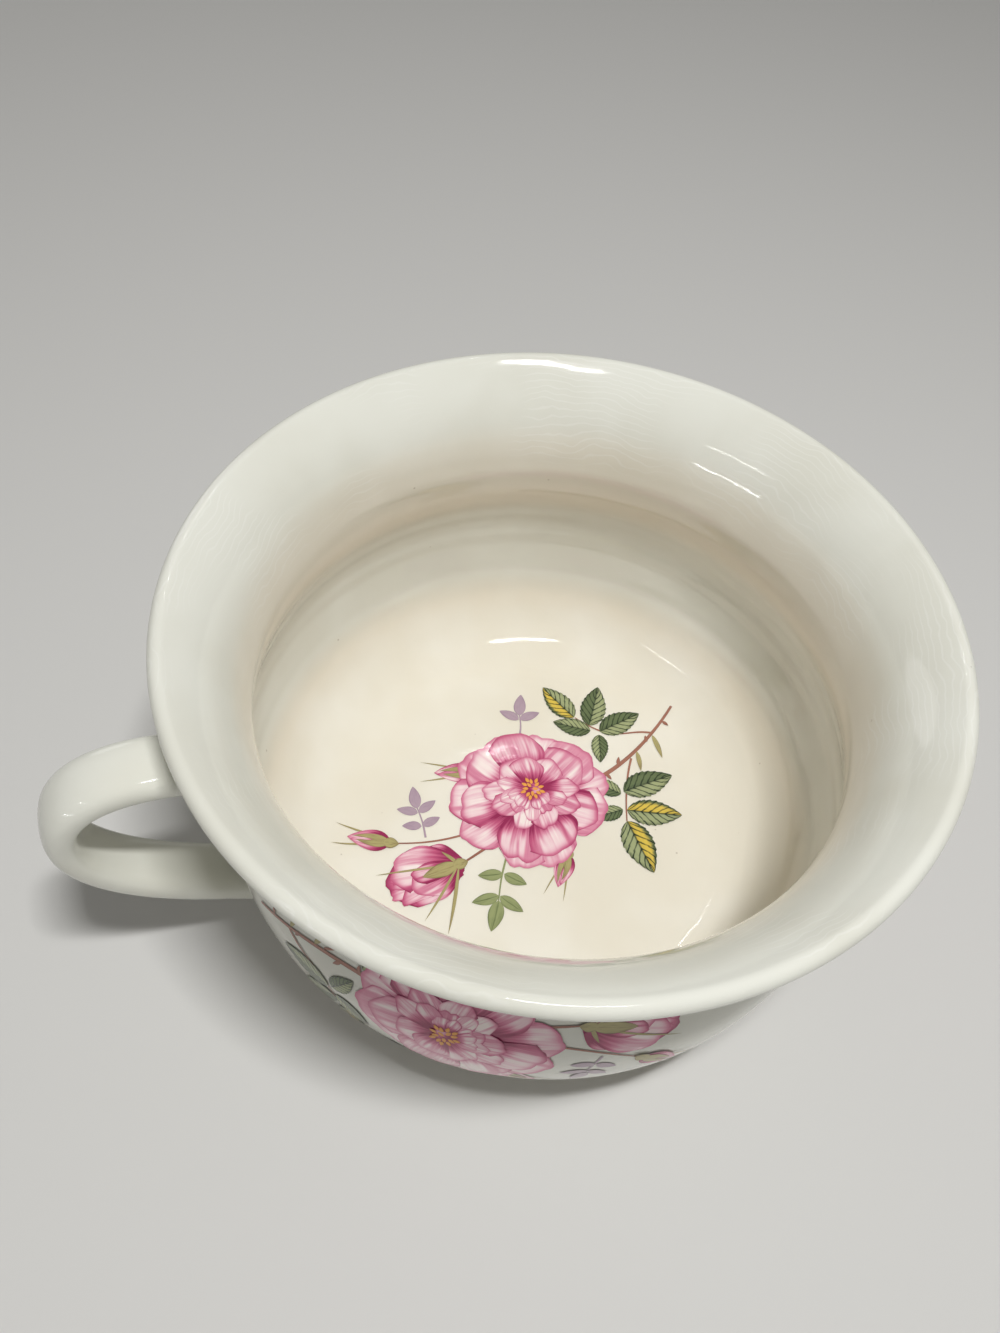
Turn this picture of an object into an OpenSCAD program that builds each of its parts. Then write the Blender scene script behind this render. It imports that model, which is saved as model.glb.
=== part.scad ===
// Chamber pot: a round-bellied glazed bowl with a flared, rolled rim, a strap handle and printed rose sprays.
// The pot stands on its foot ring at z = 0, its axis is Z, and its handle points along -X.

/* [Bowl] */
// Outside diameter of the rolled rim
rim_d = 235; // [200:1:260]
// Height from the foot to the top of the rim
pot_h = 132; // [110:1:150]
// Thickness of the thrown wall and floor
wall_t = 6; // [4:0.5:9]
// Radius of the rolled lip
lip_r = 3; // [2:0.25:6]
// Outside diameter of the waist under the rim
neck_d = 198; // [170:1:206]
// Depth of the waist below the top of the rim
waist_drop = 35.5; // [28:0.5:44]
// Greatest outside diameter of the belly
belly_d = 213; // [200:1:226]
// Height of the belly's widest line
belly_z = 57; // [45:1:66]
// Slope of the rim's underside where it meets the lip
flare_angle = 56; // [30:1:65]

/* [Foot] */
// Outside diameter of the foot ring
foot_d = 130; // [100:1:150]
// Width of the foot ring
foot_w = 9; // [5:0.5:14]
// Height of the foot ring
foot_h = 5; // [3:0.5:8]
// How far the foot ring draws in at the table
foot_draft = 1.5; // [0.5:0.25:3]

/* [Handle] */
// Width of the strap
strap_w = 19.5; // [14:0.5:28]
// Thickness of the strap
strap_t = 10.6; // [7:0.2:14]
// Distance from the pot's axis to the outside of the handle
handle_reach = 157; // [145:1:175]
// Depth below the top of the rim at which the upper end meets the waist
handle_drop = 36.5; // [33:0.5:46]
// Height at which the lower end meets the belly
handle_low_z = 26; // [20:0.5:40]
// How far the curve's upper control point lies above the upper end
handle_lift = 33.7; // [20:0.5:45]
// How far the curve's lower control point lies above the lower end
handle_heel = 36.3; // [20:0.5:50]
// Length of the slip fillet along the strap, past the wall
slip_l = 6; // [4:0.5:10]
// Thickness of the slip fillet at the wall
slip_t = 3.2; // [1.5:0.1:5]
// Thickness of the slip fillet at its free edge
slip_edge = 0.6; // [0.3:0.1:1.2]

/* [Printed sprays] */
// Thickness of the printed film
film_t = 0.2; // [0.1:0.05:0.5]
// Clearance between the printed film and the wall
film_gap = 0.1; // [0.05:0.05:0.3]
// Diameter of the open rose
bloom_d = 61; // [40:1:70]
// Diameter of the half-open rose
half_bloom_d = 27; // [18:1:34]
// Place of the half-open rose from the open rose
half_bloom_at = [-36, -36]; // [-60:1:60]
// Length of a bud
bud_l = 18; // [10:1:24]
// Width of a bud
bud_w = 9; // [5:0.5:12]
// Place of the bud beside the half-open rose
bud_at = [-57, -25]; // [-70:1:70]
// Length of a leaflet
leaflet_l = 21; // [12:1:28]
// Width of a leaflet
leaflet_w = 11; // [6:0.5:16]
// Place of the upper leaf from the open rose
upper_leaf_at = [24, 33]; // [-60:1:60]
// Place of the side leaf from the open rose
side_leaf_at = [36, 3]; // [-60:1:60]
// Place of the cut end of the main stem from the open rose
stem_end_at = [53, 48]; // [-70:1:70]
// Width of the stems
stem_w = 2.4; // [1:0.2:5]
// How far the floor's open rose lies behind the pot's axis
floor_spray_y = 7; // [0:0.5:12]
// Turn of the floor spray about the pot's axis
floor_spray_turn = -25; // [-60:1:60]
// Height of the open rose on the belly
side_spray_z = 70; // [62:1:74]
// Turn of the sprays on the belly
side_spray_turn = 142; // [120:1:200]
// Angle from the front to the first spray on the belly
first_spray_angle = 235; // [230:1:250]
// Angle from one spray on the belly to the next
spray_pitch = 93; // [85:1:100]

/* [Hidden] */
$fn = 96;

rim_r = rim_d / 2;
neck_r = neck_d / 2;
belly_r = belly_d / 2;
foot_r = foot_d / 2;
floor_z = foot_h + wall_t;
neck_z = pot_h - waist_drop;
handle_top_z = pot_h - handle_drop;

// Points on each stretch of the profile and on each stretch of the lip's half circle
stretch_n = 10;
lip_n = 3;

// Lengths of the profile curves' control arms
under_arm = (belly_r - foot_r) * 0.63;
belly_arm = (belly_z - foot_h) * 0.58;
waist_arm = (neck_z - belly_z) * 0.4;
flare_arm = (pot_h - neck_z) * 0.35;

// Middle of the lip's roll, and where the rim's underside runs into it
lip_at = [rim_r - lip_r, pot_h - lip_r];
lip_start = lip_at + lip_r * [cos(flare_angle), -sin(flare_angle)];
flare_way = [sin(flare_angle), cos(flare_angle)];
// The lip's angles at the rim's underside, its widest line, its top and its inner face
lip_stops = [-flare_angle, 0, 90, 180 - flare_angle];
lip_last = len(lip_stops) - 1;

under = [[foot_r, foot_h], [foot_r + under_arm, foot_h], [belly_r, belly_z - belly_arm], [belly_r, belly_z]];
waist = [[belly_r, belly_z], [belly_r, belly_z + waist_arm], [neck_r, neck_z - waist_arm], [neck_r, neck_z]];
flare = [[neck_r, neck_z], [neck_r, neck_z + flare_arm], lip_start - flare_arm * flare_way, lip_start];

// A point on a cubic curve, its direction and the normal on its left side
function on_curve(c, t) =
    pow(1 - t, 3) * c[0] + 3 * t * pow(1 - t, 2) * c[1] + 3 * t * t * (1 - t) * c[2] + pow(t, 3) * c[3];
function way_of(c, t) =
    pow(1 - t, 2) * (c[1] - c[0]) + 2 * t * (1 - t) * (c[2] - c[1]) + t * t * (c[3] - c[2]);
function left_of(v) = [-v[1], v[0]] / norm(v);

// Points along a curve, moved to its left by a distance that grows from d0 to d1
function beside(c, d0, d1, first = 0) =
    [for (i = [first:stretch_n])
        on_curve(c, i / stretch_n) + (d0 + (d1 - d0) * i / stretch_n) * left_of(way_of(c, i / stretch_n))];
function reversed(p) = [for (i = [len(p) - 1:-1:0]) p[i]];

// The wall's outer face moved outwards by d, and its inner face
function outer_face(d = 0) = concat(beside(under, -d, -d), beside(waist, -d, -d, 1), beside(flare, -d, -d, 1));
function inner_face() =
    concat(beside(under, wall_t, wall_t), beside(waist, wall_t, wall_t, 1), beside(flare, wall_t, 2 * lip_r, 1));
function lip() =
    [for (s = [1:lip_last], i = [1:s < lip_last ? lip_n : lip_n - 1])
        let (a = lip_stops[s - 1] + (lip_stops[s] - lip_stops[s - 1]) * i / lip_n)
            lip_at + lip_r * [cos(a), sin(a)]];

// The wall's outside radius at a height
function wall_r(z) = lookup(z, [for (p = outer_face()) [p[1], p[0]]]);

// How far a sleeve on the strap reaches from the strap's end, which lies in the wall at z and leaves it along way:
// out of the wall, past the strap's far side where the wall leans, and on by the fillet's length
function sleeve_reach(way, z) =
    let (u = way / norm(way),
         w = [wall_r(z + wall_t) - wall_r(z - wall_t), 2 * wall_t],
         v = w / norm(w),
         across = abs(u[0] * v[1] - u[1] * v[0]),
         along = abs(u * v))
    seat_depth / across + (strap_t / 2 + slip_edge) * along / across + slip_l;

// The handle's middle line, from inside the waist's wall round to inside the belly's wall
shoulder_share = 1.16;
heel_share = 1.488;
seat_depth = wall_t / 2;
top_end = [wall_r(handle_top_z) - seat_depth, handle_top_z];
low_end = [wall_r(handle_low_z) - seat_depth, handle_low_z];
line_reach = handle_reach - strap_t / 2 - top_end[0];
strap_line = [top_end, top_end + [shoulder_share * line_reach, handle_lift],
              [top_end[0] + heel_share * line_reach, handle_low_z + handle_heel], low_end];
strap_rings = 44;
slip_rings = 5;
// Share of the line by which the strap runs on into the bowl at each end, before the wall cuts it
run_in = 0.05;
strap_sides = 28;
// Roundness of the strap's section: 2 is an ellipse, more is squarer
strap_power = 2.6;

// One round of points about the strap's middle line at t, grown by g
function rounded(v) = sign(v) * pow(abs(v), 2 / strap_power);
function strap_ring(t, g) =
    let (p = on_curve(strap_line, t), n = left_of(way_of(strap_line, t)))
    [for (j = [0:strap_sides - 1])
        let (a = 360 * j / strap_sides,
             w = (strap_w / 2 + g) * rounded(cos(a)),
             h = (strap_t / 2 + g) * rounded(sin(a)),
             r = p[0] + h * n[0])
        [-r, w, p[1] + h * n[1]]];

// The side faces between m rings of n points, in a loop or in a stack
function side_faces(m, n, loop) =
    [for (i = [0:m - (loop ? 1 : 2)], j = [0:n - 1])
        let (k = (j + 1) % n, up = (i + 1) % m)
        each [[i * n + j, i * n + k, up * n + k], [i * n + j, up * n + k, up * n + j]]];
function middle(r) = [for (k = [0:2]) [for (p = r) p[k]] * [for (p = r) 1] / len(r)];

// The whole strap, closed at each end by a fan about its last ring's middle
module strap() {
    n = strap_sides;
    m = strap_rings + 1;
    rings = [for (i = [0:strap_rings]) strap_ring((1 + 2 * run_in) * i / strap_rings - run_in, 0)];
    points = concat([for (r = rings) each r], [middle(rings[0]), middle(rings[m - 1])]);
    first_end = [for (j = [0:n - 1]) [(j + 1) % n, j, m * n]];
    last_end = [for (j = [0:n - 1]) [(m - 1) * n + j, (m - 1) * n + (j + 1) % n, m * n + 1]];
    polyhedron(points = points, faces = concat(first_end, side_faces(m, n, false), last_end));
}

// A sleeve round the strap from t0 to t1, g0 thick at t0 and g1 thick at t1
module sleeve(t0, t1, g0, g1) {
    steps = [for (i = [0:slip_rings]) i / slip_rings];
    outer = [for (s = steps) strap_ring(t0 + (t1 - t0) * s, g0 + (g1 - g0) * s)];
    inner = [for (s = reversed(steps)) strap_ring(t0 + (t1 - t0) * s, 0)];
    rings = concat(outer, inner);
    polyhedron(points = [for (r = rings) each r], faces = side_faces(len(rings), strap_sides, true));
}

// Everything inside the wall's outer face
module filled_bowl() {
    outline = concat([[0, 0], [foot_r - foot_draft, 0]], outer_face(), lip(), [[0, pot_h]]);
    rotate_extrude() polygon(outline);
}

module leaflet() {
    round_r = (leaflet_l * leaflet_l + leaflet_w * leaflet_w) / (4 * leaflet_w);
    intersection() {
        translate([leaflet_l / 2, round_r - leaflet_w / 2]) circle(round_r);
        translate([leaflet_l / 2, leaflet_w / 2 - round_r]) circle(round_r);
    }
}

// Five leaflets whose short stalks meet in a round as wide as two stems
module leaf() {
    leaflets = 5;
    fan = 56;
    circle(stem_w);
    for (i = [0:leaflets - 1]) {
        rotate((i - (leaflets - 1) / 2) * fan) leaflet();
    }
}

module stem(to) {
    rotate(atan2(to[1], to[0])) translate([0, -stem_w / 2]) square([norm(to), stem_w]);
}

// The outline of one printed spray, about the middle of its open rose
module spray() {
    circle(bloom_d / 2);
    translate(half_bloom_at) circle(half_bloom_d / 2);
    translate(bud_at) intersection() {
        circle(bud_l / 2);
        square([bud_l, bud_w], center = true);
    }
    translate(upper_leaf_at) rotate(atan2(upper_leaf_at[1], upper_leaf_at[0])) leaf();
    translate(side_leaf_at) rotate(atan2(side_leaf_at[1], side_leaf_at[0])) leaf();
    for (to = [half_bloom_at, bud_at, upper_leaf_at, side_leaf_at, stem_end_at]) {
        stem(to);
    }
}

// A film on the belly, cut to a spray centred at an angle about the axis
module belly_film(angle) {
    intersection() {
        rotate_extrude() polygon(concat(outer_face(film_gap), reversed(outer_face(film_gap + film_t))));
        rotate(angle) translate([0, 0, side_spray_z]) rotate([90, 0, 90]) linear_extrude(rim_r)
            rotate(side_spray_turn) spray();
    }
}

module body() {
    foot_in = foot_r - foot_w;
    under_foot = [[0, foot_h], [foot_in, foot_h], [foot_in, 0], [foot_r - foot_draft, 0]];
    color("ivory")
    rotate_extrude() polygon(concat(under_foot, outer_face(), lip(), reversed(inner_face()), [[0, floor_z]]));
}

module handle() {
    color("whitesmoke")
    difference() {
        strap();
        filled_bowl();
    }
}

module upper_slip_joint() {
    way = strap_line[1] - strap_line[0];
    t1 = sleeve_reach(way, handle_top_z) / (3 * norm(way));
    color("gainsboro")
    difference() {
        sleeve(-run_in, t1, slip_t, slip_edge);
        filled_bowl();
    }
}

module lower_slip_joint() {
    way = strap_line[2] - strap_line[3];
    t0 = 1 - sleeve_reach(way, handle_low_z) / (3 * norm(way));
    color("gainsboro")
    difference() {
        sleeve(t0, 1 + run_in, slip_edge, slip_t);
        filled_bowl();
    }
}

// The floor is flat out to the foot's radius, and the film stays on that flat
module floor_transfer() {
    color("palevioletred")
    translate([0, 0, floor_z + film_gap]) linear_extrude(film_t)
    intersection() {
        circle(foot_r);
        rotate(floor_spray_turn) translate([0, floor_spray_y]) spray();
    }
}

module front_transfer() {
    color("palevioletred") belly_film(first_spray_angle);
}

module right_transfer() {
    color("palevioletred") belly_film(first_spray_angle + spray_pitch);
}

module back_transfer() {
    color("palevioletred") belly_film(first_spray_angle + 2 * spray_pitch);
}

body();
handle();
upper_slip_joint();
lower_slip_joint();
floor_transfer();
front_transfer();
right_transfer();
back_transfer();
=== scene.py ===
# %% [markdown]
# # A printed chamber pot
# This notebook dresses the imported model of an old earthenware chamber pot: a round bowl turned on
# the wheel, a pulled strap handle with two slip joints, and four printed rose sprays under the glaze.
# Everything is in metres and in the model's own frame: the foot stands on z = 0, the bowl turns
# about Z, and the handle points along -X.

# %% Load the frame
import math

import bpy
import numpy as np
from mathutils import Matrix, Vector


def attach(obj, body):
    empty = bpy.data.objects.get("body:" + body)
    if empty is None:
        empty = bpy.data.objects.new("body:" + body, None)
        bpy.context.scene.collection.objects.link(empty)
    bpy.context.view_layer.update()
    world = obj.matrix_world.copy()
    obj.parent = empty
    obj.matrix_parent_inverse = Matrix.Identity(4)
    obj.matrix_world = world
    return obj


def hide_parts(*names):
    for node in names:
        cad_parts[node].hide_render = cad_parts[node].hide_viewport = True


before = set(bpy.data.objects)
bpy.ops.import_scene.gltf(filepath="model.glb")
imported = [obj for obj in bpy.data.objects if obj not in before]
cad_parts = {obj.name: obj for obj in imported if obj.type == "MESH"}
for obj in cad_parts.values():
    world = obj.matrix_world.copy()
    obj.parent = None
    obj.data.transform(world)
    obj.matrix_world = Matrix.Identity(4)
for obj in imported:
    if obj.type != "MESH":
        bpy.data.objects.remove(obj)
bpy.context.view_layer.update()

# %% [markdown]
# ## The shape of the wall
# A potter checks a bowl against a wooden rib cut to half its section. The rib here is three cubic
# curves: the round under the belly, the waist, and the flare up to the rolled lip. Inside, the
# potter's fingers leave faint ridges, so the inner face gets a small wave. The same rib also tells
# the prints where the clay is, so it is worked out once and kept as points.

# %% Draw the rib
MM = 0.001
RIM_R = 117.5
POT_H = 132.0
FOOT_R = 65.0
FOOT_H = 5.0
WALL = 6.0
BELLY = np.array([106.5, 57.0])
NECK = np.array([99.0, 96.5])
LIP_R = 3.0
LIP_AT = np.array([RIM_R, POT_H]) - LIP_R
FLARE_DEG = 56
FLARE = math.radians(FLARE_DEG)
UNDER_ARM, BELLY_ARM, WAIST_ARM, FLARE_ARM = 26.145, 30.16, 15.8, 12.425


def cubic(controls, shares):
    """Points at these shares of a cubic curve, and the unit normals on its left hand."""
    a, b, c, d = np.array(controls, float)
    t = np.asarray(shares, float)[:, None]
    points = (1 - t) ** 3 * a + 3 * (1 - t) ** 2 * t * b + 3 * (1 - t) * t ** 2 * c + t ** 3 * d
    ways = (1 - t) ** 2 * (b - a) + 2 * (1 - t) * t * (c - b) + t ** 2 * (d - c)
    ways /= np.linalg.norm(ways, axis=1, keepdims=True)
    return points, np.stack([-ways[:, 1], ways[:, 0]], axis=1)


up = np.array([0.0, 1.0])
out = np.array([1.0, 0.0])
flare_way = np.array([math.sin(FLARE), math.cos(FLARE)])
lip_start = LIP_AT + LIP_R * np.array([math.cos(FLARE), -math.sin(FLARE)])
foot_edge = np.array([FOOT_R, FOOT_H])
stretches = [
    ([foot_edge, foot_edge + UNDER_ARM * out, BELLY - BELLY_ARM * up, BELLY], WALL, WALL),
    ([BELLY, BELLY + WAIST_ARM * up, NECK - WAIST_ARM * up, NECK], WALL, WALL),
    ([NECK, NECK + FLARE_ARM * up, lip_start - FLARE_ARM * flare_way, lip_start], WALL, 2 * LIP_R),
]
RIB_STEPS = 58
RIDGE = 0.11
RIDGE_PITCH = 13.5
RIDGE_FROM, RIDGE_TO, RIDGE_FADE = 22, 112, 14
SECOND_RIDGE, SECOND_RATE, SECOND_SHIFT = 0.35, 1.7, 1.0


def ridges(heights):
    """How far the potter's fingers left the inner face proud, at these heights, in mm."""
    fade_in = np.clip((heights - RIDGE_FROM) / RIDGE_FADE, 0, 1)
    fade_out = np.clip((RIDGE_TO - heights) / RIDGE_FADE, 0, 1)
    turns = 2 * math.pi * heights / RIDGE_PITCH
    wave = np.sin(turns) + SECOND_RIDGE * np.sin(SECOND_RATE * turns + SECOND_SHIFT)
    return RIDGE * fade_in * fade_out * wave


outer, inner, outer_normal = [], [], []
for controls, wall_from, wall_to in stretches:
    points, normals = cubic(controls, np.linspace(0, 1, RIB_STEPS))
    walls = np.linspace(wall_from, wall_to, RIB_STEPS)[:, None] + ridges(points[:, 1:])
    keep = slice(0 if not outer else 1, None)
    outer.append(points[keep])
    inner.append((points + walls * normals)[keep])
    outer_normal.append(-normals[keep])
outer, inner, outer_normal = map(np.concatenate, (outer, inner, outer_normal))
FLOOR_Z = inner[0][1]
print("rib points:", len(outer), "floor at", FLOOR_Z, "mm, lip top at", POT_H, "mm")

# %% [markdown]
# ## Shader sums in plain Python
# A glaze is mostly arithmetic: how far from the axis, how near an edge, how much of one colour in
# another. Linking Math nodes by hand is slow to read, so one small class wraps a socket, and
# Python's own signs add the nodes.

# %% A wire that can be added and multiplied
class Wire:
    """An output socket of a shader node that takes part in Python arithmetic."""

    def __init__(self, socket):
        self.socket = socket

    @staticmethod
    def make(tree, kind, settings=None, sockets=None, out=0):
        """Adds any node: its type, its settings, the values or wires of its sockets."""
        node = tree.nodes.new(kind)
        for key, value in (settings or {}).items():
            if key == "stops":
                while len(node.color_ramp.elements) < len(value):
                    node.color_ramp.elements.new(0.5)
                for element, (place, colour) in zip(node.color_ramp.elements, value):
                    element.position = place
                    element.color = colour
            else:
                setattr(node, key, value)
        for key, value in (sockets or {}).items():
            if isinstance(value, Wire):
                tree.links.new(value.socket, node.inputs[key])
            else:
                node.inputs[key].default_value = value
        return Wire(node.outputs[out])

    def node(self, kind, settings=None, sockets=None, out=0):
        return Wire.make(self.socket.id_data, kind, settings, sockets, out)

    def maths(self, operation, *values):
        return self.node("ShaderNodeMath", {"operation": operation}, dict(enumerate(values)))

    def __add__(self, other):
        return self.maths("ADD", self, other)

    def __sub__(self, other):
        return self.maths("SUBTRACT", self, other)

    def __rsub__(self, other):
        return self.maths("SUBTRACT", other, self)

    def __mul__(self, other):
        return self.maths("MULTIPLY", self, other)

    def __pow__(self, other):
        return self.maths("POWER", self, other)

    __radd__ = __add__
    __rmul__ = __mul__

    def size(self):
        return self.maths("ABSOLUTE", self)

    def wave(self):
        return self.maths("SINE", self)

    def rise(self, low, high):
        """0 below low, 1 above high, smooth between. With high below low it falls."""
        first, last = (0.0, 1.0) if low < high else (1.0, 0.0)
        sockets = {"Value": self, "From Min": min(low, high), "From Max": max(low, high),
                   "To Min": first, "To Max": last}
        return self.node("ShaderNodeMapRange", {"interpolation_type": "SMOOTHSTEP"}, sockets)

    def mix(self, first, second):
        """The first colour where this wire is 0 and the second where it is 1."""
        return self.node("ShaderNodeMix", {"data_type": "RGBA"}, {0: self, 6: first, 7: second}, 2)


def srgb(red, green, blue):
    """A colour as a picture editor shows it, 0 to 255, for a shader socket."""
    parts = [c / 255 for c in (red, green, blue)]
    return [c / 12.92 if c <= 0.04045 else ((c + 0.055) / 1.055) ** 2.4 for c in parts] + [1.0]


print("a wire adds", [n for n in dir(Wire) if n.startswith("__r") and n[3:-2] in ("add", "sub", "mul")])

# %% [markdown]
# ## Clear lead-like glaze
# One coat of clear glaze lies over clay and print alike, so every material here shares its surface:
# glossy, a little uneven from the dipping, with faint rings left by the turning tool. The rings and
# the unevenness are bump on Object coordinates. They run on from the clay into the prints without a
# break, because every piece sits at the origin.

# %% The shared coat of glaze
def object_place(tree):
    """The Object coordinates, and their x, y and z, in metres."""
    place = Wire.make(tree, "ShaderNodeTexCoord", out=3)
    axes = [place.node("ShaderNodeSeparateXYZ", None, {0: place}, axis) for axis in range(3)]
    return place, axes


def noise(place, scale, detail=2.0, rough=0.5):
    """Soft noise from 0 to 1, with about this many humps to a metre."""
    return place.node("ShaderNodeTexNoise", None,
                      {"Vector": place, "Scale": scale, "Detail": detail, "Roughness": rough})


GLAZE_ROUGHNESS = 0.045
PATCHY_ROUGHNESS = 0.05
BARE_ROUGHNESS = 0.7
GLAZE_IOR = 1.5
DIP, DIP_GRAIN = 0.9, 42.0
PEBBLE, PEBBLE_GRAIN = 0.10, 260.0
TURNING, TURNING_OUT, TURNING_UP, TURNING_WANDER = 0.014, 1500.0, 900.0, 16.0
GLOSS_GRAIN = 95.0
BUMP_STRENGTH = 0.30
BUMP_DEPTH = 0.0012
RIM_FADE = (0.1210, 0.1170)
BARE_FOOT = (0.0011, 0.0005)


def coat_with_glaze(material, colour_of):
    """Gives a material its colour and the glaze that all the pot's materials share."""
    material.use_nodes = True
    tree = material.node_tree
    clay = tree.nodes["Principled BSDF"]
    place, (x, y, z) = object_place(tree)
    from_axis = (x * x + y * y) ** 0.5
    dip = noise(place, DIP_GRAIN, 1.0)
    pebble = noise(place, PEBBLE_GRAIN, 2.0)
    wander = noise(place, 30.0, 1.0) * TURNING_WANDER
    turning = (from_axis * TURNING_OUT + z * TURNING_UP + wander).wave()
    turning = turning * from_axis.rise(*RIM_FADE) * noise(place, 21.0, 1.0).rise(0.42, 0.62)
    height = dip * DIP + pebble * PEBBLE + turning * TURNING
    dipped = place.node("ShaderNodeBump", None,
                        {"Strength": BUMP_STRENGTH, "Distance": BUMP_DEPTH, "Height": height})
    bare = z.rise(*BARE_FOOT)
    gloss = GLAZE_ROUGHNESS + noise(place, GLOSS_GRAIN) * PATCHY_ROUGHNESS + bare * BARE_ROUGHNESS
    for socket, wire in (("Base Color", colour_of(tree, place, from_axis, z, bare)),
                         ("Roughness", gloss), ("Normal", dipped)):
        tree.links.new(wire.socket, clay.inputs[socket])
    clay.inputs["IOR"].default_value = GLAZE_IOR
    return material


# %% [markdown]
# ## White and cream clay
# The body is a pale cream inside, where the glaze pooled, and a cooler white on the rim and outside.
# Up the inner wall, where it lies in shade, the cream is painted deeper and browner, as painted
# shade, and it turns paler again at the throat. Real glaze is never one flat colour, so a wide soft
# cloud and a few iron specks go over it. Faint pale rings over the flare are a painted sheen, where
# highlights would run. The foot ring is wiped bare, which shows biscuit-coloured clay.

# %% Mix the pot's glaze colours
CREAM = srgb(241, 237, 225)
CREAM_DEEP = srgb(234, 228, 212)
# The next colour is painted shade: the cream made deeper and browner up the inner wall, where it lies in
# shade.
CREAM_WALL_SHADE = srgb(226, 214, 193)
WHITE = srgb(227, 227, 217)
WHITE_GREY = srgb(219, 218, 206)
BISCUIT = srgb(203, 186, 156)
# The next colour is a painted sheen: pale streaks on the flare where highlights would run.
PAINTED_SHEEN = srgb(243, 243, 238)
SPECK = srgb(128, 104, 78)
# Where the painted wall shade comes in, by height, and how much of it there is.
WALL_SHADE_FADE, WALL_SHADE_SHARE = (0.016, 0.045), 0.75
THROAT_FADE = (0.0990, 0.0930)
FLOOR_FADE = (0.0070, 0.0100)
PALER_FADE, PALER_SHARE = (0.0780, 0.0980), 0.55
FLARE_FADE = (0.0980, 0.1080)
CLOUD_GRAIN = 17.0
# How strong the painted sheen on the flare is, and how its rings run and wander.
SHEEN_SHARE, RINGS_OUT, RINGS_UP, RINGS_WANDER = 0.24, 2600.0, 1500.0, 42.0
SPECK_SHARE, SPECK_GRAIN = 0.35, 95.0


def clay_colour(tree, place, from_axis, z, bare):
    """Cream in, white out, painted wall shade and sheen rings, a cloud, specks, and biscuit where bare.
    """
    cloud = noise(place, CLOUD_GRAIN, 3.0, 0.55).rise(0.35, 0.68)
    # Up the inner wall the cream is darkened and browned: painted shade.
    cream = (z.rise(*WALL_SHADE_FADE) * WALL_SHADE_SHARE).mix(cloud.mix(CREAM, CREAM_DEEP), CREAM_WALL_SHADE)
    white = cloud.mix(WHITE, WHITE_GREY)
    inside = from_axis.rise(*THROAT_FADE) * z.rise(*FLOOR_FADE)
    inside = inside * (1.0 - z.rise(*PALER_FADE) * PALER_SHARE)
    # Pale streaks along rings on the flare: painted sheen, standing in for highlights on the ripples.
    rings = (from_axis * RINGS_OUT + z * RINGS_UP + noise(place, 40.0, 3.0) * RINGS_WANDER).wave()
    flare = z.rise(*FLARE_FADE) * from_axis.rise(*RIM_FADE)
    sheen_streak = rings.rise(0.60, 1.0) * noise(place, 26.0, 1.0).rise(0.44, 0.62) * flare * SHEEN_SHARE
    wall = sheen_streak.mix(inside.mix(white, cream), PAINTED_SHEEN)
    cells = place.node("ShaderNodeTexVoronoi", None, {"Vector": place, "Scale": SPECK_GRAIN})
    chosen = noise(place, 31.0, 0.0).rise(0.60, 0.64)
    speck = cells.rise(0.050, 0.028) * chosen * SPECK_SHARE
    return bare.mix(speck.mix(wall, SPECK), BISCUIT)


glazes = {}
for name in ("cream_glaze", "white_glaze", "slip_glaze"):
    glazes[name] = coat_with_glaze(bpy.data.materials.new(name), clay_colour)
print("glazes:", sorted(glazes))

# %% [markdown]
# ## The bowl
# The bowl could be carved from a cylinder, but it was made on a wheel, and Blender's Spin is that
# wheel. One point is drawn out along the rib, vertex by vertex, and the line is spun about Z. The
# two poles and the seam are then merged, so that the shell is closed. Two helpers come first, because
# every piece needs them: one picks pieces, the other closes a piece's skin.

# %% Pick pieces and close their skins
MERGE = 0.01


def pick(*pieces):
    """Selects these pieces alone, with the last one active."""
    bpy.ops.object.select_all(action="DESELECT")
    for piece in pieces:
        piece.select_set(True)
        bpy.context.view_layer.objects.active = piece


def close_skin(fill=False):
    """In edit mode, merges corners that meet, fills open ends if asked, and turns the faces out."""
    bpy.ops.mesh.select_all(action="SELECT")
    bpy.ops.mesh.remove_doubles(threshold=MERGE * MM)
    if fill:
        bpy.ops.mesh.fill_holes(sides=0)
        bpy.ops.mesh.select_all(action="SELECT")
    bpy.ops.mesh.normals_make_consistent(inside=False)
    bpy.ops.object.mode_set(mode="OBJECT")


print("corners closer than", MERGE, "mm are merged")

# %% Spin a line into a vessel
ROUND_STEPS = 192


def turned(name, line):
    """A closed piece spun about Z from a half section given in mm as (radius, height)."""
    pick()
    bpy.ops.mesh.primitive_plane_add(size=MM)
    piece = bpy.context.object
    piece.name = name
    bpy.ops.object.mode_set(mode="EDIT")
    bpy.ops.mesh.merge(type="CENTER")
    steps = np.diff(np.concatenate([[[0, 0]], line]), axis=0) * MM
    bpy.ops.transform.translate(value=(steps[0][0], 0, steps[0][1]))
    for along, rise in steps[1:]:
        bpy.ops.mesh.extrude_vertices_move(TRANSFORM_OT_translate={"value": (along, 0, rise)})
    bpy.ops.mesh.select_all(action="SELECT")
    bpy.ops.mesh.spin(steps=ROUND_STEPS, angle=2 * math.pi, center=(0, 0, 0), axis=(0, 0, 1))
    close_skin()
    print(name, len(piece.data.polygons), "faces")
    return piece


def arc(centre, radius, start, end, steps):
    """Points round a circle from one angle to another, in degrees."""
    angles = np.radians(np.linspace(start, end, steps))
    return np.array(centre) + radius * np.stack([np.cos(angles), np.sin(angles)], axis=1)


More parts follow.
